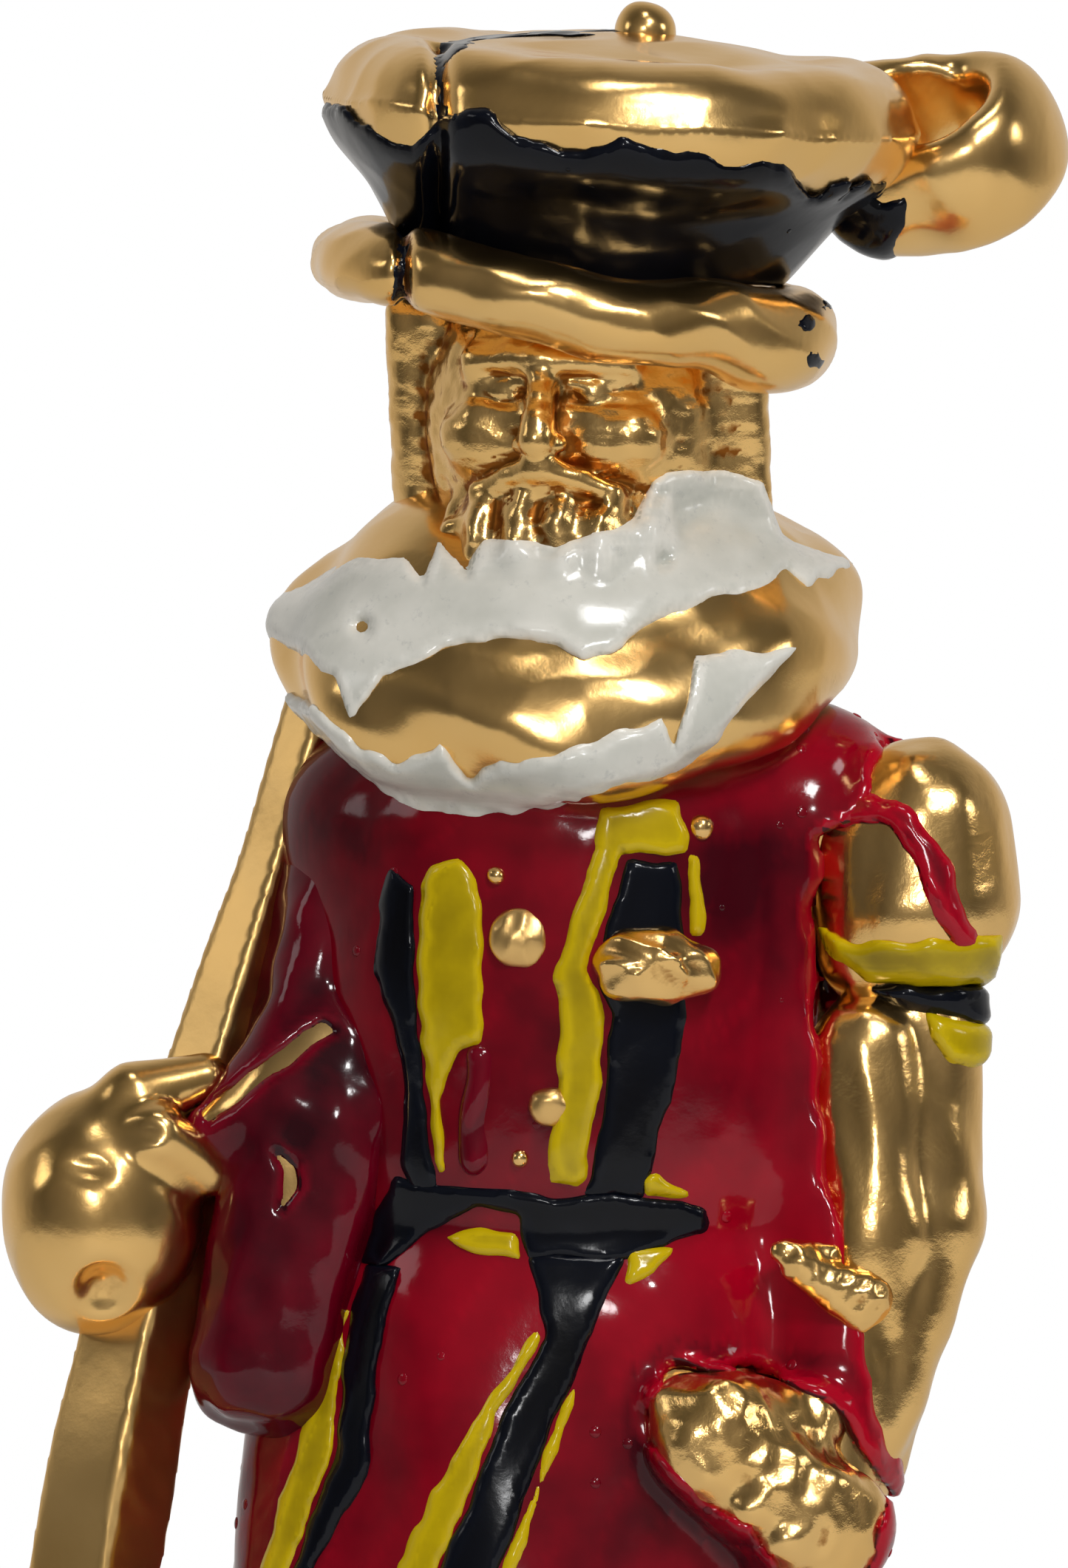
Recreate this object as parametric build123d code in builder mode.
"""Gilt and enamelled figurine charm of a ceremonial guard with a staff.

Millimetres, +Z up, the figure faces -Y, and its left hand is on +X.
The origin is on the underside of the base, under the body.
Every metal piece is gilt, and every enamel fill lies in a recess of the metal below it.
"""
from build123d import *
import os
from math import cos, radians, sin

# ---- driving dimensions ----
ENAMEL = 0.25            # depth of the enamel in its recess
BASE_HEIGHT = 0.6
BASE_CENTRE = (-1.7, -0.6)
BASE_HALF_LENGTH = 5.0
BASE_HALF_WIDTH = 2.9
SHOE_TOP = 1.75
HEM_HEIGHT = 6.4
BELT_BOTTOM = 12.75
BELT_TOP = 13.6
SHOULDER_HEIGHT = 18.6
RUFF_SEAT = (0.2, -0.1, 19.15)
RUFF_AXIS = (-0.12, -0.14, 1.0)
HAT_SEAT = (0.7, 0.0, 23.15)
BRIM_SEAT = (0.22, -0.05, 23.1)
HAT_TILT = 6.0           # degrees, the figure's left side hangs lower
LOOP_CENTRE = (4.03, 2.13, 24.7)
LOOP_AXIS = (-0.32, -0.55, 0.77)
LOOP_RING_RADIUS = 0.87
LOOP_WALL_HALF = 0.42
LOOP_BAND_HALF = 0.7
LOOP_EYE_RADIUS = 0.55
STAFF_WIDTH = 1.0
STAFF_TURN = 60.0        # degrees that the square staff is turned about its length
LEG_SPACING = 1.25       # each leg's distance from the body axis
FRONT_REACH = 6.0        # how far a front block reaches out of the body
CUT_WIDTH = 20.0         # wide enough to cut any limb
BODY_AXIS_X = 0.1

# Body outline from hem to shoulder: height, half width, half depth.
SKIRT_LEVELS = [
    (HEM_HEIGHT, 3.7, 2.8),
    (8.4, 3.45, 2.6),
    (10.6, 3.1, 2.35),
    (BELT_BOTTOM, 2.8, 2.15),
]
TORSO_LEVELS = [
    (BELT_BOTTOM, 2.8, 2.15),
    (14.4, 2.75, 2.15),
    (16.2, 2.85, 2.1),
    (17.7, 2.85, 1.9),
    (SHOULDER_HEIGHT, 2.5, 1.6),
]

# Staff centre line from the ruff down to the base: x, y, z.
STAFF_LINE = [
    (-2.35, 0.15, 19.2),
    (-3.3, -0.85, 15.2),
    (-4.2, -1.45, 12.2),
    (-4.6, -1.6, 9.4),
    (-5.1, -1.65, 5.0),
    (-5.45, -1.65, BASE_HEIGHT),
]


def write(part, label):
    """Name a finished piece and write its STEP file."""
    part.label = label
    export_step(part, f"parts/{label}.step")


def seat_planes(origin, direction):
    """Give the upright side plane and the axis of a seat that points along direction."""
    seat = Plane(origin, z_dir=direction)
    side = Plane(origin, x_dir=seat.x_dir, z_dir=-seat.y_dir)
    return side, Axis(origin, seat.z_dir)


def ellipse_stack(levels, trim=0.0):
    """Loft a body through level ellipses, trimmed inwards by trim."""
    with BuildPart() as stack:
        for height, half_width, half_depth in levels:
            with BuildSketch(Plane((BODY_AXIS_X, 0, height))):
                Ellipse(half_width - trim, half_depth - trim)
        loft()
    return stack.part


def limb(start, end, stations, trim=0.0):
    """Turn a limb about the line from start to end.

    Each station is a share of the length and the radius there, from 0 to 1.
    """
    line = Vector(end) - Vector(start)
    side, axis = seat_planes(start, line)
    low, high = trim, line.length - trim
    outline = [(radius - trim, min(max(share * line.length, low), high)) for share, radius in stations]
    with BuildPart() as body:
        with BuildSketch(side):
            with BuildLine():
                rim = Spline(*outline)
                Polyline(rim @ 1, (0, high), (0, low), rim @ 0)
            make_face()
        revolve(axis=axis)
    return body.part


def turned(side, axis, outline):
    """Revolve a closed straight-sided outline of (radius, height) points."""
    with BuildPart() as ring:
        with BuildSketch(side):
            Polygon(*outline, align=None)
        revolve(axis=axis)
    return ring.part


def front_block(*outline):
    """Extrude an outline of (x, z) points forwards out of the body."""
    with BuildPart() as block:
        with BuildSketch(Plane.XZ):
            Polygon(*outline, align=None)
        extrude(amount=FRONT_REACH)
    return block.part


def slab(bottom, top):
    """Give a level slab wide enough to cut any limb between two heights."""
    with BuildPart() as block:
        with BuildSketch(Plane.XY.offset(bottom)):
            Rectangle(CUT_WIDTH, CUT_WIDTH)
        extrude(amount=top - bottom)
    return block.part


def common(shape, tool):
    """Keep what two solids share."""
    with BuildPart() as shared:
        add(shape)
        add(tool, mode=Mode.INTERSECT)
    return shared.part


def less(shape, *tools):
    """Cut the tools out of a solid."""
    with BuildPart() as rest:
        add(shape)
        for tool in tools:
            add(tool, mode=Mode.SUBTRACT)
    return rest.part


def largest(shape):
    """Keep the biggest solid of a cut shape and drop the slivers that the cut leaves."""
    with BuildPart() as kept:
        add(shape.solids().sort_by(SortBy.VOLUME)[-1])
    return kept.part


os.makedirs("parts", exist_ok=True)

# ---- hat: brim, crown, button, black band and pleat ----
hat_direction = (sin(radians(HAT_TILT)), 0, cos(radians(HAT_TILT)))
hat_side, hat_axis = seat_planes(HAT_SEAT, hat_direction)
brim_side, brim_axis = seat_planes(BRIM_SEAT, hat_direction)
BRIM_RADIUS = 2.42
BRIM_HALF_WIDTH = 0.58
BRIM_HALF_HEIGHT = 0.52
CROWN_BOTTOM = 0.36
CROWN_TOP = 2.8
CROWN_OUTLINE = [
    (2.35, CROWN_BOTTOM), (2.5, 0.95), (2.95, 1.5), (3.2, 2.05), (2.85, 2.5), (1.5, 2.75), (0, CROWN_TOP)]
BAND_RECESS = [(2.1, 0.3), (2.2, 0.9), (2.6, 1.5), (2.9, 1.8), (3.6, 1.8), (3.6, 0.3)]
PLEAT_ANGLE = -114.0     # degrees about the hat, from +X
PLEAT_WIDTH = 0.24
PLEAT_OUTLINE = [(0.4, 2.55), (2.4, 2.3), (2.8, 2.05), (2.75, 1.8), (3.6, 1.8), (3.6, 3.0), (0.4, 3.0)]
BUTTON_RADIUS = 0.36
BUTTON_OFFSET = 0.25     # the button's distance from the hat's axis
BUTTON_LIFT = 0.1        # how far the ball stands above the crown
BUTTON_STEM = 0.3

with BuildPart() as crown_form:
    with BuildSketch(hat_side):
        with BuildLine():
            crown_rim = Spline(*CROWN_OUTLINE, tangents=((0, 1), (-1, 0)))
            Polyline(crown_rim @ 1, (0, CROWN_BOTTOM), crown_rim @ 0)
        make_face()
    revolve(axis=hat_axis)
crown_whole = crown_form.part
band_tool = turned(hat_side, hat_axis, BAND_RECESS)

pleat_out = Vector(cos(radians(PLEAT_ANGLE)), sin(radians(PLEAT_ANGLE)), 0)
pleat_side = Plane(HAT_SEAT, x_dir=pleat_out, z_dir=pleat_out.cross(Vector(*hat_direction)))
with BuildPart() as pleat_form:
    with BuildSketch(pleat_side):
        Polygon(*PLEAT_OUTLINE, align=None)
    extrude(amount=PLEAT_WIDTH / 2, both=True)
pleat_tool = less(pleat_form.part, band_tool)

with BuildPart() as hat_crown:
    add(crown_whole)
    add(band_tool, mode=Mode.SUBTRACT)
    add(pleat_tool, mode=Mode.SUBTRACT)
write(hat_crown.part, "hat_crown")

with BuildPart() as hat_band_black:
    add(crown_whole)
    add(band_tool, mode=Mode.INTERSECT)
write(hat_band_black.part, "hat_band_black")

with BuildPart() as hat_pleat_black:
    add(crown_whole)
    add(pleat_tool, mode=Mode.INTERSECT)
write(hat_pleat_black.part, "hat_pleat_black")

with BuildPart() as hat_brim:
    with BuildSketch(brim_side):
        with Locations((BRIM_RADIUS, 0)):
            Ellipse(BRIM_HALF_WIDTH, BRIM_HALF_HEIGHT)
    revolve(axis=brim_axis)
    add(crown_whole, mode=Mode.SUBTRACT)
write(largest(hat_brim.part), "hat_brim")

button_seat = hat_side.from_local_coords((BUTTON_OFFSET, CROWN_TOP + BUTTON_LIFT, 0))
with BuildPart() as hat_button:
    with BuildSketch(Plane(button_seat, z_dir=hat_direction).offset(-BUTTON_STEM)):
        Circle(BUTTON_RADIUS * 0.7)
    extrude(amount=BUTTON_STEM)
    with Locations(button_seat):
        Sphere(BUTTON_RADIUS)
    add(crown_whole, mode=Mode.SUBTRACT)
write(hat_button.part, "hat_button")

# ---- hanging loop: a thick eye on the hat's left rear ----
loop_side, loop_axis = seat_planes(LOOP_CENTRE, LOOP_AXIS)
LOOP_ROOT_CUT = 3.42     # radius about the hat inside which the loop's root is enamelled
LOOP_ROOT_BOTTOM = 22.7
LOOP_ROOT_TOP = 24.24
with BuildPart() as loop_form:
    with BuildSketch(loop_side):
        with Locations((LOOP_RING_RADIUS, 0)):
            Ellipse(LOOP_WALL_HALF, LOOP_BAND_HALF)
        with Locations((LOOP_EYE_RADIUS / 2, 0)):
            Rectangle(LOOP_EYE_RADIUS, 4 * LOOP_BAND_HALF, mode=Mode.SUBTRACT)
    revolve(axis=loop_axis)
    add(crown_whole, mode=Mode.SUBTRACT)
loop_whole = largest(loop_form.part)
with BuildPart() as loop_patch_form:
    with BuildSketch(Plane.XY.offset(LOOP_ROOT_BOTTOM)):
        with Locations((HAT_SEAT[0], HAT_SEAT[1])):
            Circle(LOOP_ROOT_CUT)
    extrude(amount=LOOP_ROOT_TOP - LOOP_ROOT_BOTTOM)
loop_patch = loop_patch_form.part

with BuildPart() as hanging_loop:
    add(loop_whole)
    add(loop_patch, mode=Mode.SUBTRACT)
write(hanging_loop.part, "hanging_loop")

with BuildPart() as loop_root_black:
    add(loop_whole)
    add(loop_patch, mode=Mode.INTERSECT)
write(loop_root_black.part, "loop_root_black")
print("hat done")

# ---- ruff: a thick collar with two white enamel bands ----
ruff_side, ruff_axis = seat_planes(RUFF_SEAT, RUFF_AXIS)
RUFF_OUTLINE = [(2.0, -1.4), (2.75, -1.15), (3.2, -0.35), (3.2, 0.3), (2.8, 0.95), (1.9, 1.2)]
UPPER_BAND = [(1.5, 1.5), (1.5, 0.98), (2.4, 0.85), (2.85, 0.35), (3.6, 0.35), (3.6, 1.5)]
LOWER_BAND = [(3.6, -0.5), (2.86, -0.5), (2.4, -1.0), (1.9, -1.15), (1.9, -1.6), (3.6, -1.6)]
with BuildPart() as ruff_form:
    with BuildSketch(ruff_side):
        with BuildLine():
            ruff_rim = Spline(*RUFF_OUTLINE)
            Polyline(ruff_rim @ 1, (0, RUFF_OUTLINE[-1][1]), (0, RUFF_OUTLINE[0][1]), ruff_rim @ 0)
        make_face()
    revolve(axis=ruff_axis)
ruff_whole = ruff_form.part
upper_band_tool = turned(ruff_side, ruff_axis, UPPER_BAND)
lower_band_tool = turned(ruff_side, ruff_axis, LOWER_BAND)

with BuildPart() as ruff:
    add(ruff_whole)
    add(upper_band_tool, mode=Mode.SUBTRACT)
    add(lower_band_tool, mode=Mode.SUBTRACT)
write(ruff.part, "ruff")

# ---- head: skull, nose, ears and beard in one casting ----
HEAD_AXIS = (0.25, -0.15)
HEAD_TOP = 23.75
HEAD_OUTLINE = [(1.2, 19.6), (1.7, 20.5), (2.0, 21.3), (1.9, 22.1), (1.6, 22.8), (1.55, HEAD_TOP)]
head_side, head_axis = seat_planes((HEAD_AXIS[0], HEAD_AXIS[1], 0), (0, 0, 1))
FACE_X = HEAD_AXIS[0]
NOSE_LINE = ((FACE_X, -1.8, 22.35), (FACE_X, -2.15, 21.3))
NOSE_STATIONS = [(0, 0.15), (0.7, 0.36), (1, 0.25)]
BEARD_LINE = ((FACE_X, -1.35, 21.5), (FACE_X, -1.75, 19.3))
BEARD_STATIONS = [(0, 0.6), (0.4, 0.95), (1, 0.7)]
EAR_SPACING = 1.85
EAR_TOP = 22.1
EAR_BOTTOM = 21.0
EAR_STATIONS = [(0, 0.2), (0.4, 0.32), (1, 0.2)]
nose = limb(*NOSE_LINE, NOSE_STATIONS)
beard = limb(*BEARD_LINE, BEARD_STATIONS)
ears = [limb((x, 0.0, EAR_TOP), (x, 0.0, EAR_BOTTOM), EAR_STATIONS)
        for x in (FACE_X + EAR_SPACING, FACE_X - EAR_SPACING)]
with BuildPart() as head:
    with BuildSketch(head_side):
        with BuildLine():
            cheek = Spline(*HEAD_OUTLINE)
            Polyline(cheek @ 1, (0, HEAD_OUTLINE[-1][1]), (0, HEAD_OUTLINE[0][1]), cheek @ 0)
        make_face()
    revolve(axis=head_axis)
    for feature in (nose, beard, *ears):
        add(feature)
    for neighbour in (crown_whole, ruff_whole):
        add(neighbour, mode=Mode.SUBTRACT)
write(largest(head.part), "head")

for band, label in ((upper_band_tool, "ruff_white_upper"), (lower_band_tool, "ruff_white_lower")):
    write(common(ruff_whole, band), label)
print("ruff and head done")

# ---- tunic: metal core and its enamel skin ----
torso_whole = less(ellipse_stack(TORSO_LEVELS), ruff_whole)
torso_core = less(ellipse_stack(TORSO_LEVELS, ENAMEL), ruff_whole)
torso_skin = less(torso_whole, torso_core)
skirt_whole = ellipse_stack(SKIRT_LEVELS)
skirt_core = ellipse_stack(SKIRT_LEVELS, ENAMEL)
skirt_skin = less(skirt_whole, skirt_core)

write(torso_core, "tunic_torso")
write(skirt_core, "tunic_skirt")

belt_tool = front_block((-1.75, BELT_BOTTOM), (2.15, BELT_BOTTOM), (2.3, 13.2), (2.1, BELT_TOP), (-1.75, BELT_TOP))
torso_blocks = {
    "belt_black": belt_tool,
    "torso_black_right": front_block((-1.55, 17.1), (-0.95, 17.1), (-0.8, BELT_TOP), (-1.45, BELT_TOP)),
    "torso_yellow_right": front_block((-0.95, 17.1), (-0.2, 17.1), (-0.3, BELT_TOP), (-0.8, BELT_TOP)),
    "torso_yellow_left": front_block((1.0, 17.7), (1.25, 17.1), (0.9, BELT_TOP), (0.2, BELT_TOP), (0.5, 16.6)),
    "torso_black_left": front_block((1.25, 17.1), (2.05, 17.1), (1.9, BELT_TOP), (0.9, BELT_TOP)),
    "shoulder_yellow_left": front_block((1.0, 17.7), (2.0, 17.6), (2.3, 16.4), (2.05, 17.1), (1.25, 17.1)),
}
for label, block in torso_blocks.items():
    write(common(torso_skin, block), label)

skirt_blocks = {
    "skirt_black_left": front_block((0.4, BELT_BOTTOM), (1.4, BELT_BOTTOM), (-0.05, 9.4), (-0.7, HEM_HEIGHT),
                                    (-1.5, HEM_HEIGHT), (-0.7, 9.4)),
    "skirt_yellow_left": front_block((1.4, BELT_BOTTOM), (1.75, BELT_BOTTOM), (0.45, 9.4), (-0.1, HEM_HEIGHT),
                                     (-0.7, HEM_HEIGHT), (-0.05, 9.4)),
    "skirt_yellow_middle": front_block((0.4, BELT_BOTTOM), (-0.7, 9.4), (-1.5, HEM_HEIGHT), (-2.0, HEM_HEIGHT),
                                       (-1.15, 9.4), (0.1, BELT_BOTTOM)),
    "skirt_black_right": front_block((-1.6, BELT_BOTTOM), (-1.15, BELT_BOTTOM), (-1.4, 10.4), (-2.1, 9.0),
                                     (-2.6, HEM_HEIGHT), (-3.1, HEM_HEIGHT), (-2.5, 9.0), (-1.9, 10.4)),
    "skirt_yellow_right": front_block((-1.95, BELT_BOTTOM), (-1.6, BELT_BOTTOM), (-1.9, 10.4), (-2.5, 9.0),
                                      (-3.1, HEM_HEIGHT), (-3.45, HEM_HEIGHT), (-2.85, 9.0), (-2.3, 10.4)),
}
for label, block in skirt_blocks.items():
    write(common(skirt_skin, block), label)

write(less(torso_skin, *torso_blocks.values()), "torso_red")
write(less(skirt_skin, *skirt_blocks.values()), "skirt_red")
print("tunic done")

# ---- chest medal and the two coat buttons ----
MEDAL_CENTRE = (1.6, 15.9)
MEDAL_HALF_WIDTH = 0.72
MEDAL_HALF_HEIGHT = 0.46
MEDAL_REACH = 2.25       # how far the medal's face stands in front of the body axis
MEDAL_BACK = 1.2         # how far in front of the body axis the medal starts, inside the body
COAT_BUTTONS = [(0.2, 16.2, 0.32), (0.5, 14.4, 0.24)]
COAT_BUTTON_REACH = 2.3
COAT_BUTTON_BACK = 1.6
with BuildPart() as chest_medal:
    with BuildSketch(Plane.XZ.offset(MEDAL_BACK)):
        with Locations(MEDAL_CENTRE):
            Ellipse(MEDAL_HALF_WIDTH, MEDAL_HALF_HEIGHT)
    extrude(amount=MEDAL_REACH - MEDAL_BACK)
    add(torso_whole, mode=Mode.SUBTRACT)
write(chest_medal.part, "chest_medal")

for number, (button_x, button_z, button_radius) in enumerate(COAT_BUTTONS, start=1):
    with BuildPart() as coat_button:
        with BuildSketch(Plane.XZ.offset(COAT_BUTTON_BACK)):
            with Locations((button_x, button_z)):
                Circle(button_radius)
        extrude(amount=COAT_BUTTON_REACH - COAT_BUTTON_BACK)
        add(torso_whole, mode=Mode.SUBTRACT)
    write(coat_button.part, f"coat_button_{number}")

# ---- staff and the fist that grips it ----
with BuildPart() as staff:
    for place in STAFF_LINE:
        with BuildSketch(Plane(place)):
            Rectangle(STAFF_WIDTH, STAFF_WIDTH, rotation=STAFF_TURN)
    loft()
    for neighbour in (ruff_whole, torso_whole, skirt_whole):
        add(neighbour, mode=Mode.SUBTRACT)
staff_whole = largest(staff.part)
write(staff_whole, "staff")

FIST_LINE = ((-5.0, -1.55, 15.05), (-4.35, -1.3, 11.95))
FIST_STATIONS = [(0, 0.5), (0.25, 0.92), (0.5, 1.1), (0.78, 0.9), (1, 0.5)]
fist_whole = limb(*FIST_LINE, FIST_STATIONS)
right_fist = largest(less(fist_whole, staff_whole))
write(right_fist, "right_fist")

# ---- right sleeve: a wide hanging sleeve of red enamel on metal ----
SLEEVE_LINE = ((-2.2, 0.1, 17.9), (-3.05, -1.1, 10.7))
SLEEVE_STATIONS = [(0, 0.6), (0.2, 0.95), (0.5, 1.25), (0.78, 1.4), (1, 0.85)]
sleeve_form = limb(*SLEEVE_LINE, SLEEVE_STATIONS)
sleeve_whole = less(sleeve_form, torso_whole, skirt_whole, ruff_whole, staff_whole, right_fist)
sleeve_trimmed = limb(*SLEEVE_LINE, SLEEVE_STATIONS, ENAMEL)
write(largest(common(sleeve_trimmed, sleeve_whole)), "right_sleeve")
write(largest(less(sleeve_whole, sleeve_trimmed)), "right_sleeve_red")
print("right arm done")

# ---- left arm: shoulder puff, lower sleeve with enamel bands, cuff tab and hand ----
PUFF_LINE = ((3.5, 0.1, 18.5), (4.0, 0.0, 15.3))
PUFF_STATIONS = [(0, 0.6), (0.25, 1.05), (0.55, 1.2), (1, 0.85)]
LOWER_LINE = ((3.8, 0.1, 16.4), (3.45, -1.0, 9.9))
LOWER_STATIONS = [(0, 0.8), (0.35, 1.0), (0.65, 0.92), (1, 0.65)]
ARC_CENTRE = (4.0, 16.85)
ARC_HALVES = (0.85, 1.05)
ISLAND_CENTRE = (3.65, 16.75)
ISLAND_HALVES = (0.55, 0.75)
HAND_LINE = ((3.55, -1.75, 11.65), (2.3, -2.15, 8.7))
HAND_STATIONS = [(0, 0.6), (0.25, 1.0), (0.55, 1.2), (1, 0.7)]
TAB_LINE = ((3.75, -1.05, 12.75), (2.45, -1.75, 12.3))
TAB_STATIONS = [(0, 0.25), (0.5, 0.38), (1, 0.28)]
ARM_BANDS_BOTTOM = 14.45
ARM_BANDS_TOP = 15.9
ARM_BANDS = {
    "left_sleeve_yellow_upper": (15.35, ARM_BANDS_TOP),
    "left_sleeve_black": (14.9, 15.35),
    "left_sleeve_yellow_lower": (ARM_BANDS_BOTTOM, 14.9),
}
body_solids = (torso_whole, skirt_whole, ruff_whole)
puff_whole = less(limb(*PUFF_LINE, PUFF_STATIONS), *body_solids)
puff_trimmed = limb(*PUFF_LINE, PUFF_STATIONS, ENAMEL)
with BuildPart() as arc_form:
    with BuildSketch(Plane.XZ):
        with Locations(ARC_CENTRE):
            Ellipse(*ARC_HALVES)
        with Locations(ISLAND_CENTRE):
            Ellipse(*ISLAND_HALVES, mode=Mode.SUBTRACT)
    extrude(amount=FRONT_REACH)
arc_recess = less(arc_form.part, puff_trimmed)
write(common(puff_whole, arc_recess), "left_sleeve_red")
write(largest(less(puff_whole, arc_recess)), "left_shoulder_puff")

lower_whole = less(limb(*LOWER_LINE, LOWER_STATIONS), puff_whole, *body_solids)
lower_trimmed = limb(*LOWER_LINE, LOWER_STATIONS, ENAMEL)
for label, (bottom, top) in ARM_BANDS.items():
    write(common(lower_whole, less(slab(bottom, top), lower_trimmed)), label)
all_bands = less(slab(ARM_BANDS_BOTTOM, ARM_BANDS_TOP), lower_trimmed)
lower_sleeve = largest(less(lower_whole, all_bands))
write(lower_sleeve, "left_lower_sleeve")

left_hand = largest(less(limb(*HAND_LINE, HAND_STATIONS), lower_whole, skirt_whole))
write(left_hand, "left_hand")

write(less(limb(*TAB_LINE, TAB_STATIONS), lower_whole, skirt_whole, left_hand), "left_cuff_tab")
print("left arm done")

# ---- base, legs and shoes ----
with BuildPart() as base_plate:
    with BuildSketch():
        with Locations(BASE_CENTRE):
            Ellipse(BASE_HALF_LENGTH, BASE_HALF_WIDTH)
    extrude(amount=BASE_HEIGHT)
    fillet(base_plate.edges().group_by(Axis.Z)[-1], BASE_HEIGHT / 3)
write(base_plate.part, "base_plate")

LEG_Y = -0.1
SHOE_SOLE_Y = -0.55      # the shoe's middle at the sole; it moves back by SHOE_BACK up to the ankle
SHOE_BACK = 0.45
LEG_STATIONS = [(0.0, 0.82), (0.35, 0.95), (0.75, 0.7), (1.0, 0.62)]
SHOE_LEVELS = [(0.0, 0.85, 1.35), (0.45, 0.85, 1.35), (1.0, 0.6, 0.85)]
for side_name, side_sign in (("right", -1), ("left", 1)):
    leg_x = BODY_AXIS_X + side_sign * LEG_SPACING
    forms = []
    for trim in (0.0, ENAMEL):
        leg_length = HEM_HEIGHT - SHOE_TOP
        with BuildPart() as leg_form:
            for share, radius in LEG_STATIONS:
                with BuildSketch(Plane((leg_x, LEG_Y, HEM_HEIGHT - share * leg_length))):
                    Circle(radius - trim)
            loft()
        forms.append(leg_form.part)
    leg_whole, leg_core = forms
    write(leg_core, f"{side_name}_leg")
    write(less(leg_whole, leg_core), f"{side_name}_stocking_red")
    with BuildPart() as shoe:
        for share, half_width, half_length in SHOE_LEVELS:
            height = BASE_HEIGHT + share * (SHOE_TOP - BASE_HEIGHT)
            with BuildSketch(Plane((leg_x, SHOE_SOLE_Y + SHOE_BACK * share, height))):
                Ellipse(half_width, half_length)
        loft()
    write(shoe.part, f"{side_name}_shoe")
print("legs done")
